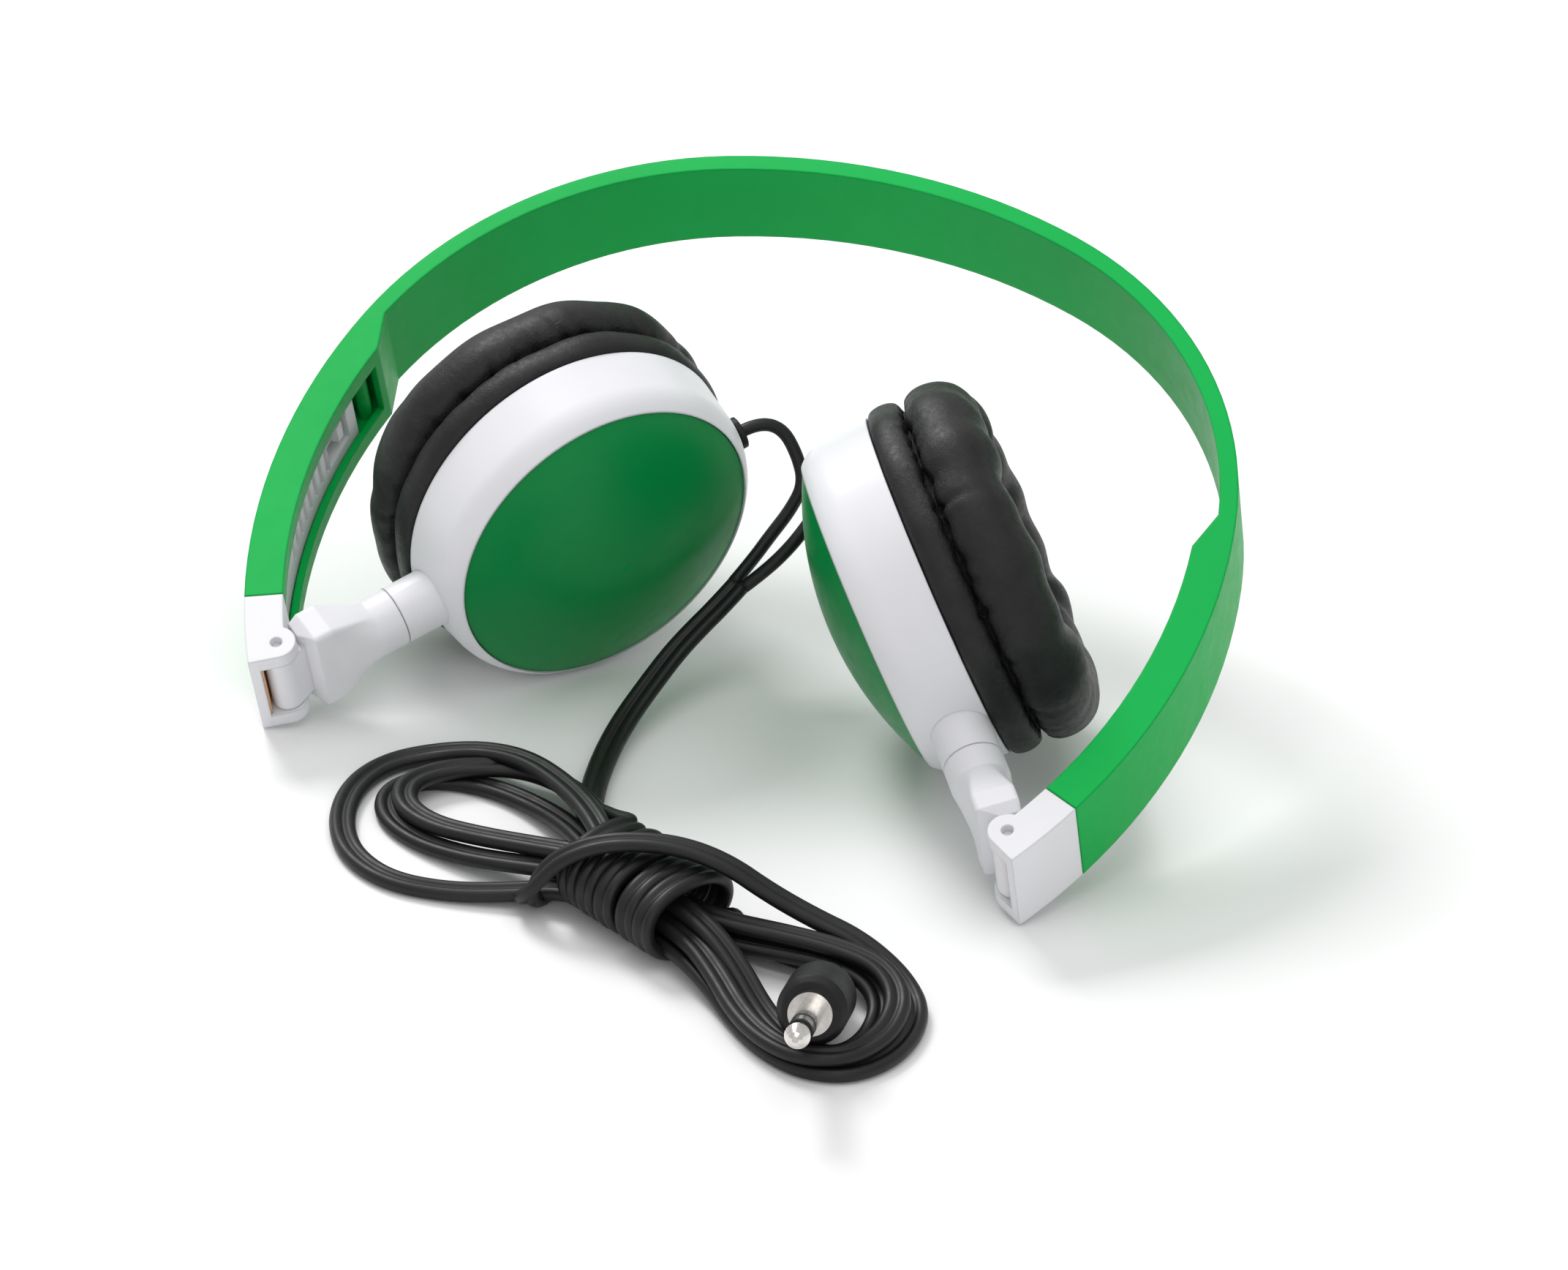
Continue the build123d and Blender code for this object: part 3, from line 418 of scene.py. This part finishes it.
def make_lead(side, route):
    mouth, along = gland_exit(side)
    guide = nurbs(f"{side}_lead_guide", [mouth, mouth + along * LEAD_EXIT] + vectors(route))
    line = read_line(guide)
    bpy.data.objects.remove(guide)
    lead = tube(f"{side}_lead_cord", line, [SIDEWAYS] * len(line), round_section())
    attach(lead, "headband")
    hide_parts(f"{side}_lead")
    return lead


def make_twin():
    points, start, end = twin_route()
    guide = nurbs("twin_guide", points)
    line = read_line(guide)
    bpy.data.objects.remove(guide)
    # order 3 has two spans fewer than points, and a point begins to shape the line two spans before its own
    per_point = (len(line) - 1) / (len(points) - 2)
    shares = [count * per_point / (len(line) - 1) for count in (start - 2, end - 1)]
    twin = tube("twin_cable", line, twin_normals(line, shares), twin_section())
    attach(twin, "headband")
    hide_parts("cable_run", "cable_hank")
    return twin


cables = [make_lead("left", LEFT_LEAD), make_lead("right", RIGHT_LEAD), make_twin()]


# ---------------------------------------------------------------- cup frames
def centroid(node):
    """The area-weighted middle of a node's faces, in metres."""
    total, area = Vector(), 0.0
    for face in NODES[node].data.polygons:
        total += face.center * face.area
        area += face.area
    return total / area


def cup_frame(side):
    """(centre, away from the arm, out of the cap), in millimetres."""
    mouth, along = gland_exit(side)
    centre = mouth - along * (RING_RADIUS + GLAND_FLANGE)
    out = (centroid(f"{side}_cap") - centroid(f"{side}_ear_cushion")).normalized()
    out = (out - along * out.dot(along)).normalized()
    return centre, along, out


# ---------------------------------------------------------------- ear cushions
CUSHION_COLUMNS = 420
CUSHION_PROFILE = [         # radius, height towards the cap; closed, from the skirt round the ear side
    (23.6, -4.5),
    (25.0, -4.45),
    (25.9, -5.0),
    (26.3, -6.3),
    (26.2, -7.8),
    (25.7, -8.9),
    (24.7, -9.4),
    (24.0, -9.55),
    (24.8, -9.75),
    (25.9, -10.3),
    (26.7, -11.8),
    (26.8, -13.8),
    (26.2, -15.9),
    (24.8, -17.8),
    (22.4, -19.1),
    (19.6, -19.4),
    (16.8, -18.8),
    (14.4, -17.2),
    (13.0, -14.8),
    (12.4, -12.0),
    (12.6, -9.0),
    (13.2, -6.7),
    (16.0, -6.35),
    (20.0, -6.3),
    (23.4, -6.2),
]
SEAM_INDEX = 7              # the profile's point at the bottom of the seam
OUTWARD_INDEX = 20          # outline points past the seam, to one on the outside of the ear roll
PROFILE_STEPS = 6
CREASES = 38
CREASE_JITTER = 0.36        # share of the spacing
CREASE_HALF_WIDTH = (0.018, 0.045)          # radians
CREASE_DEPTH = (0.25, 0.95)
CREASE_REACH = (1.5, 4.8)   # from the seam towards the ear
CREASE_LEAN = (-0.035, 0.035)
CREASE_FADE = 1.6
LEAN_RANGE = (-4, 8)        # from the seam, where creases lean
LEAN_LENGTH = 3
THIN_REACH = 1.5            # from the seam on to the thin roll
THIN_SHARE = 0.7
# place along the profile's list, and spread
EAR_ROLL = (12.5, 3.2)
THIN_ROLL = (3.6, 1.6)
HOLE_SIDE = (18.5, 2.6)
UNDULATIONS = 9
UNDULATION_COUNT = (3, 17)  # waves round the cushion
UNDULATION_SIZE = (0.05, 0.13)
UNDULATION_LEAN = (-0.08, 0.08)
# the waves' size on the thin roll and the hole's side, and the folds' size on the ear roll
THIN_ROLL_WAVE, HOLE_WAVE, EAR_ROLL_FOLD = 0.6, 1.3, 0.3
FOLDS = 5                   # long soft folds that run in from the outer edge to the hole
FOLD_HALF_WIDTH = (0.05, 0.1)               # radians
FOLD_LEAN = (-0.03, 0.03)
FOLD_DEPTH = (0.4, 0.9)
STILL_BEFORE, STILL_AFTER = 1.0, 21.5       # the profile keeps its shape where it meets the cup
GATHER_ZONE = 3.4           # half-width of the gathered leather along the seam
ZONE_SHARE, CREASE_SHARE = 0.55, 0.6        # what each adds to how gathered the leather is
RUFFLE_SEED = 50            # added to the cushion's seed


def closed_curve(points, steps):
    """Catmull-Rom points of a closed outline, with the place of each along the list."""
    made, places = [], []
    n = len(points)
    for i in range(n):
        a, b, c, d = (np.array(points[(i + k) % n], float) for k in (-1, 0, 1, 2))
        for j in range(steps):
            t = j / steps
            square, cube = 2 * a - 5 * b + 4 * c - d, 3 * b - a - 3 * c + d
            made.append(0.5 * (2 * b + (c - a) * t + square * t**2 + cube * t**3))
            places.append(i + t)
    return np.array(made), np.array(places)


def crease_table(seed):
    """Irregular stitches round the seam: angle, half-width in radians, depth, reach, lean."""
    rng = random.Random(seed)
    angles = []
    for i in range(CREASES):
        angles.append((i + rng.uniform(-CREASE_JITTER, CREASE_JITTER)) * math.tau / CREASES)
    ranges = (CREASE_HALF_WIDTH, CREASE_DEPTH, CREASE_REACH, CREASE_LEAN)
    return [(angle, *(rng.uniform(low, high) for low, high in ranges)) for angle in angles]


def wrapped(angle):
    return (angle + math.pi) % math.tau - math.pi


def cushion_outline():
    """The profile's points, their places along its list, outward normals, and lengths from the seam."""
    outline, places = closed_curve(CUSHION_PROFILE, PROFILE_STEPS)
    after = np.roll(outline, -1, 0) - np.roll(outline, 1, 0)
    normal = np.stack([-after[:, 1], after[:, 0]], 1)
    normal /= np.linalg.norm(normal, axis=1)[:, None]
    outside = SEAM_INDEX * PROFILE_STEPS + OUTWARD_INDEX
    if np.dot(normal[outside], outline[outside] - outline.mean(0)) < 0:
        normal = -normal
    step = np.linalg.norm(np.diff(outline, axis=0, append=outline[:1]), axis=1)
    arc = np.concatenate([[0], np.cumsum(step)[:-1]])
    # negative on the thin roll, positive on the ear roll
    return outline, places, normal, arc - arc[SEAM_INDEX * PROFILE_STEPS]


def stitch(seed, theta, from_seam):
    """How far the stitches push each point out, which is inwards, and how gathered the leather is."""
    push = np.zeros((len(theta), len(from_seam)))
    gather = np.zeros_like(push)
    for angle, width, depth, reach, lean in crease_table(seed):
        drift = angle + lean * np.clip(from_seam, *LEAN_RANGE) / LEAN_LENGTH
        near = wrapped(theta[:, None] - drift[None, :])
        narrow = np.exp(-0.5 * (near / width) ** 2)
        ear = np.exp(-((np.abs(from_seam) / reach) ** CREASE_FADE))
        thin = np.exp(-((from_seam / THIN_REACH) ** 2)) * THIN_SHARE
        fade = np.where(from_seam > 0, ear, thin)[None, :]
        push -= depth * narrow * fade
        gather += narrow * fade
    return push, gather


def around(places, middle, spread):
    """1 at one place along the profile's list, fading to both sides."""
    return np.exp(-0.5 * ((places - middle) / spread) ** 2)


def ruffle(push, seed, theta, places, from_seam):
    """Adds soft waves and a few long folds to push."""
    rng = random.Random(seed)
    roll_out, roll_thin, hollow = (around(places, *spot) for spot in (EAR_ROLL, THIN_ROLL, HOLE_SIDE))
    for _ in range(UNDULATIONS):
        count = rng.randint(*UNDULATION_COUNT)
        phase = rng.uniform(0, math.tau)
        size = rng.uniform(*UNDULATION_SIZE) * 12 / (count + 3)
        lean = rng.uniform(*UNDULATION_LEAN)
        wave = np.sin(count * theta[:, None] + phase + lean * from_seam[None, :])
        push += size * wave * (roll_out + THIN_ROLL_WAVE * roll_thin + HOLE_WAVE * hollow)[None, :]
    for _ in range(FOLDS):
        angle, width = rng.uniform(0, math.tau), rng.uniform(*FOLD_HALF_WIDTH)
        lean = rng.uniform(*FOLD_LEAN)
        near = wrapped(theta[:, None] - angle - lean * from_seam[None, :])
        fold = np.exp(-0.5 * (near / width) ** 2)
        push -= rng.uniform(*FOLD_DEPTH) * fold * (EAR_ROLL_FOLD * roll_out + hollow)[None, :]


def make_cushion(side, seed):
    centre, along, out = cup_frame(side)
    third = out.cross(along)
    outline, places, normal, from_seam = cushion_outline()
    theta = np.arange(CUSHION_COLUMNS) * math.tau / CUSHION_COLUMNS
    push, gather = stitch(seed, theta, from_seam)
    ruffle(push, seed + RUFFLE_SEED, theta, places, from_seam)
    push[:, (places > STILL_AFTER) | (places < STILL_BEFORE)] = 0
    shape = outline[None, :, :] + normal[None, :, :] * push[:, :, None]
    vertices = []
    for i, angle in enumerate(theta):
        radial = along * math.cos(angle) + third * math.sin(angle)
        for r, h in shape[i]:
            vertices.append((centre + radial * float(r) + out * float(h)) * MM)
    faces = grid_faces(CUSHION_COLUMNS, len(outline), closed_rows=True)
    cushion = add_mesh(f"{side}_ear_pad", vertices, faces)
    attribute = cushion.data.attributes.new("gather", "FLOAT", "POINT")
    zone = np.exp(-((from_seam / GATHER_ZONE) ** 2))[None, :] * np.ones_like(push)
    gathered = np.clip(ZONE_SHARE * zone + CREASE_SHARE * gather, 0, 1)
    attribute.data.foreach_set("value", gathered.astype(np.float32).ravel())
    fix_normals(cushion)
    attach(cushion, f"{side}_cup")
    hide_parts(f"{side}_ear_cushion")
    return cushion


def fix_normals(piece):
    work = bmesh.new()
    work.from_mesh(piece.data)
    bmesh.ops.recalc_face_normals(work, faces=work.faces)
    work.to_mesh(piece.data)
    work.free()


cushions = [make_cushion(side, seed) for side, seed in (("left", 7), ("right", 23))]
for cable in cables:
    fix_normals(cable)


# ---------------------------------------------------------------- materials
class Material:
    """A Principled material and short ways to build what feeds it."""

    def __init__(self, name):
        self.data = bpy.data.materials.new(name)
        self.data.use_nodes = True
        self.tree = self.data.node_tree
        self.shader = self.tree.nodes["Principled BSDF"]
        coordinates = self.tree.nodes.new("ShaderNodeTexCoord")
        self.place = coordinates.outputs["Object"]

    def link(self, source, target):
        self.tree.links.new(source, target)

    def node(self, kind, **settings):
        node = self.tree.nodes.new(kind)
        for key, value in settings.items():
            setattr(node, key, value)
        return node

    def noise(self, per_mm, detail=4, roughness=0.55, distortion=0.0):
        node = self.node("ShaderNodeTexNoise")
        node.inputs["Scale"].default_value = per_mm / MM
        node.inputs["Detail"].default_value = detail
        node.inputs["Roughness"].default_value = roughness
        node.inputs["Distortion"].default_value = distortion
        self.link(self.place, node.inputs["Vector"])
        return node.outputs["Fac"]

    def cells(self, per_mm):
        node = self.node("ShaderNodeTexVoronoi", feature="DISTANCE_TO_EDGE")
        node.inputs["Scale"].default_value = per_mm / MM
        self.link(self.place, node.inputs["Vector"])
        return node.outputs["Distance"]

    def spread(self, value, to_low=0.0, to_high=1.0, low=0.3, high=0.7):
        """value's stretch from low to high, spread from to_low to to_high."""
        node = self.node("ShaderNodeMapRange")
        for key, number in (("From Min", low), ("From Max", high), ("To Min", to_low), ("To Max", to_high)):
            node.inputs[key].default_value = number
        self.link(value, node.inputs["Value"])
        return node.outputs["Result"]

    def mix(self, share, first, second):
        node = self.node("ShaderNodeMix")
        node.data_type = "RGBA"
        self.link(share, node.inputs["Factor"])
        node.inputs["A"].default_value = (*first, 1)
        node.inputs["B"].default_value = (*second, 1)
        return node.outputs["Result"]

    def rounded(self, radius):
        """Normals that run round the edges, radius in millimetres."""
        node = self.node("ShaderNodeBevel")
        node.samples = 4
        node.inputs["Radius"].default_value = radius * MM
        return node.outputs["Normal"]

    def bump(self, height, strength, distance, onto=None):
        node = self.node("ShaderNodeBump")
        node.inputs["Strength"].default_value = strength
        node.inputs["Distance"].default_value = distance * MM
        self.link(height, node.inputs["Height"])
        if onto is not None:
            self.link(onto, node.inputs["Normal"])
        self.link(node.outputs["Normal"], self.shader.inputs["Normal"])
        return node.outputs["Normal"]

    def colour(self, socket):
        self.link(socket, self.shader.inputs["Base Color"])

    def roughness(self, socket):
        self.link(socket, self.shader.inputs["Roughness"])

    def fixed(self, **values):
        for key, value in values.items():
            self.shader.inputs[key.replace("_", " ")].default_value = value


def moulded(name, base, worn, rough, grain=0.5, speck=0.02, edge=0.3, shine=0.5):
    """Moulded plastic: slight flow marks in colour, fine spark-eroded grain, uneven gloss."""
    m = Material(name)
    m.colour(m.mix(m.spread(m.noise(0.05, 5, 0.6), low=0.35), base, worn))
    m.roughness(m.spread(m.noise(0.4, 5, 0.65), rough - 0.05, rough + 0.07, high=0.75))
    first = m.bump(m.noise(2.4, 2, 0.5), grain, speck, m.rounded(edge))
    m.bump(m.noise(0.09, 2), 0.2, 0.12, first)
    m.fixed(IOR=1.5, Specular_IOR_Level=shine)
    return m


GREEN = (0.0, 0.43, 0.075)
GREEN_DEEP = (0.0, 0.40, 0.068)
# The caps are the band's green plastic. Their darker green is painted shade, and the deeper tone adds the
# flow marks.
CAP_GREEN_PAINTED_SHADE = (0.0, 0.235, 0.052)
CAP_GREEN_DEEP_PAINTED_SHADE = (0.0, 0.215, 0.047)
WHITE = (0.79, 0.79, 0.82)
WHITE_DULL = (0.76, 0.76, 0.79)
LEATHER = (0.005, 0.005, 0.0053)
LEATHER_WORN = (0.010, 0.010, 0.0105)
JACKET = (0.006, 0.006, 0.0062)
JACKET_WORN = (0.010, 0.010, 0.0102)
PLUG_BLACK = (0.007, 0.007, 0.0072)
PLUG_BLACK_WORN = (0.011, 0.011, 0.011)
INNER_BLACK = (0.014, 0.014, 0.014)
INNER_BLACK_WORN = (0.022, 0.022, 0.022)
NICKEL = (0.80, 0.77, 0.74)
STEEL = (0.58, 0.58, 0.6)
COPPER = (0.72, 0.44, 0.26)
FILM = (0.42, 0.42, 0.40)
FILM_DULL = (0.36, 0.36, 0.34)
GRILLE_GAP = (0.004, 0.004, 0.004)
GRILLE_THREAD = (0.035, 0.035, 0.036)
FLOOR_WHITE = (0.93, 0.93, 0.93)
FLOOR_DULL = (0.90, 0.90, 0.90)
METAL_DULL = 0.82


def leatherette():
    m = Material("leatherette")
    m.colour(m.mix(m.spread(m.noise(0.35, 5)), LEATHER, LEATHER_WORN))
    attribute = m.node("ShaderNodeAttribute")
    attribute.attribute_name = "gather"
    gather = attribute.outputs["Fac"]
    m.roughness(m.spread(m.noise(1.1, 4), 0.40, 0.56))
    grain = m.bump(m.cells(2.6), 0.30, 0.05)
    wrinkles = m.noise(0.85, 6, 0.62, 1.4)
    ridged = m.node("ShaderNodeMath", operation="ABSOLUTE")
    m.link(m.spread(wrinkles, -1.0, 1.0, low=0.0, high=1.0), ridged.inputs[0])
    strong = m.node("ShaderNodeMath", operation="MULTIPLY")
    m.link(ridged.outputs[0], strong.inputs[0])
    m.link(m.spread(gather, 0.12, 1.0, low=0.15, high=0.9), strong.inputs[1])
    m.bump(strong.outputs[0], 0.75, 0.55, grain)
    m.fixed(IOR=1.48, Specular_IOR_Level=0.38)
    return m


def jacket():
    m = Material("jacket")
    m.colour(m.mix(m.spread(m.noise(0.12, 4)), JACKET, JACKET_WORN))
    m.roughness(m.spread(m.noise(0.5, 4), 0.40, 0.50))
    m.bump(m.noise(2.2, 3), 0.12, 0.015)
    m.fixed(IOR=1.5, Specular_IOR_Level=0.36)
    return m


def metal(name, base, rough):
    m = Material(name)
    dull = tuple(c * METAL_DULL for c in base)
    m.colour(m.mix(m.spread(m.noise(0.8, 4)), base, dull))
    m.roughness(m.spread(m.noise(2.0, 5), rough, rough + 0.12))
    m.bump(m.noise(6.0, 4), 0.2, 0.01)
    m.fixed(Metallic=1.0)
    return m


def cloth():
    m = Material("grille_weave")
    m.colour(m.mix(m.cells(2.2), GRILLE_GAP, GRILLE_THREAD))
    m.fixed(Roughness=0.9)
    m.bump(m.cells(2.2), 0.8, 0.15)
    return m


# grain is the bump's strength, speck its depth and edge the rounding, the last two in millimetres
BAND_FINISH = {"grain": 0.2, "speck": 0.01, "edge": 0.5, "shine": 0.12}
CAP_FINISH = {"grain": 0.2, "speck": 0.01, "edge": 0.2, "shine": 0.2}
WHITE_FINISH = {"grain": 0.25, "speck": 0.012, "edge": 0.45, "shine": 0.4}
PLUG_FINISH = {"grain": 0.6, "speck": 0.03, "edge": 0.6, "shine": 0.3}
MATERIALS = {
    "band": moulded("band_green", GREEN, GREEN_DEEP, 0.42, **BAND_FINISH),
    # the caps' darker green base colour is painted shade on the band's plastic
    "cap": moulded("cap_green_painted_shade", CAP_GREEN_PAINTED_SHADE, CAP_GREEN_DEEP_PAINTED_SHADE, 0.35, **CAP_FINISH),
    "white": moulded("white_plastic", WHITE, WHITE_DULL, 0.36, **WHITE_FINISH),
    "leather": leatherette(),
    "jacket": jacket(),
    "moulding": moulded("plug_black", PLUG_BLACK, PLUG_BLACK_WORN, 0.48, **PLUG_FINISH),
    "black": moulded("inner_black", INNER_BLACK, INNER_BLACK_WORN, 0.5),
    "plug_metal": metal("plug_nickel", NICKEL, 0.14),
    "steel": metal("plain_steel", STEEL, 0.25),
    "copper": metal("copper_alloy", COPPER, 0.32),
    "cloth": cloth(),
    "film": moulded("diaphragm_film", FILM, FILM_DULL, 0.3),
}
USES = {
    "headband": "band",
    "slider": "white",
    "hinge_leaf": "copper",
    "fold_pin": "white",
    "arm": "white",
    "cup_ring": "white",
    "cap": "cap",
    "cable_gland": "moulding",
    "baffle": "black",
    "baffle_screws": "steel",
    "driver_grille": "cloth",
    "driver_frame": "black",
    "driver_magnet": "steel",
    "driver_diaphragm": "film",
    "swivel_washer": "steel",
    "swivel_screw": "steel",
    "plug_body": "moulding",
    "plug_sleeve": "plug_metal",
    "plug_ring": "plug_metal",
    "plug_tip": "plug_metal",
    "plug_insulators": "moulding",
}


def paint(piece, name):
    piece.data.materials.clear()
    piece.data.materials.append(MATERIALS[name].data)


def finish_nodes():
    for name, node in NODES.items():
        if node.hide_render:
            continue
        kind = name
        for side in SIDES:
            kind = kind.removeprefix(f"{side}_")
        paint(node, USES[kind])


finish_nodes()
for cushion in cushions:
    paint(cushion, "leather")
for cable in cables:
    paint(cable, "jacket")


# ---------------------------------------------------------------- stage and light
FLOOR_HALF = 4.0            # metres
FLOOR_DROP = 0.05           # millimetres below the headset, so that the two never share a face
WORLD_STRENGTH = 0.62
# name, place, target, size, power
LIGHTS = [
    ("key", (-0.55, 0.35, 0.75), (0, 0, 0), (0.35, 0.35), 5.5),
    ("top", (0.1, -0.2, 1.3), (0, 0, 0), (1.1, 1.1), 4.0),
    ("front", (0.5, -1.1, 0.7), (0, 0, 0.02), (0.7, 0.5), 1.5),
]


def make_floor():
    corners = [(FLOOR_HALF * x, FLOOR_HALF * y, 0) for x, y in ((-1, -1), (1, -1), (1, 1), (-1, 1))]
    floor = add_mesh("floor", [Vector(c) for c in corners], [(0, 1, 2, 3)], smooth=False)
    floor.location.z = -FLOOR_DROP * MM
    m = Material("floor_white")
    m.colour(m.mix(m.spread(m.noise(0.004, 2)), FLOOR_WHITE, FLOOR_DULL))
    m.fixed(Roughness=0.55, Specular_IOR_Level=0.25)
    floor.data.materials.append(m.data)


def area_light(name, place, target, size, power):
    data = bpy.data.lights.new(name, "AREA")
    data.shape = "RECTANGLE"
    data.size, data.size_y = size
    data.energy = power
    lamp = bpy.data.objects.new(name, data)
    bpy.context.scene.collection.objects.link(lamp)
    turn = (Vector(target) - Vector(place)).to_track_quat("-Z", "Y")
    lamp.matrix_world = Matrix.Translation(place) @ turn.to_matrix().to_4x4()


def make_light():
    make_floor()
    for light in LIGHTS:
        area_light(*light)
    world = bpy.data.worlds.new("world")
    world.use_nodes = True
    background = world.node_tree.nodes["Background"]
    background.inputs["Color"].default_value = (1, 1, 1, 1)
    background.inputs["Strength"].default_value = WORLD_STRENGTH
    bpy.context.scene.world = world
    bpy.context.scene.view_settings.view_transform = "Standard"


make_light()
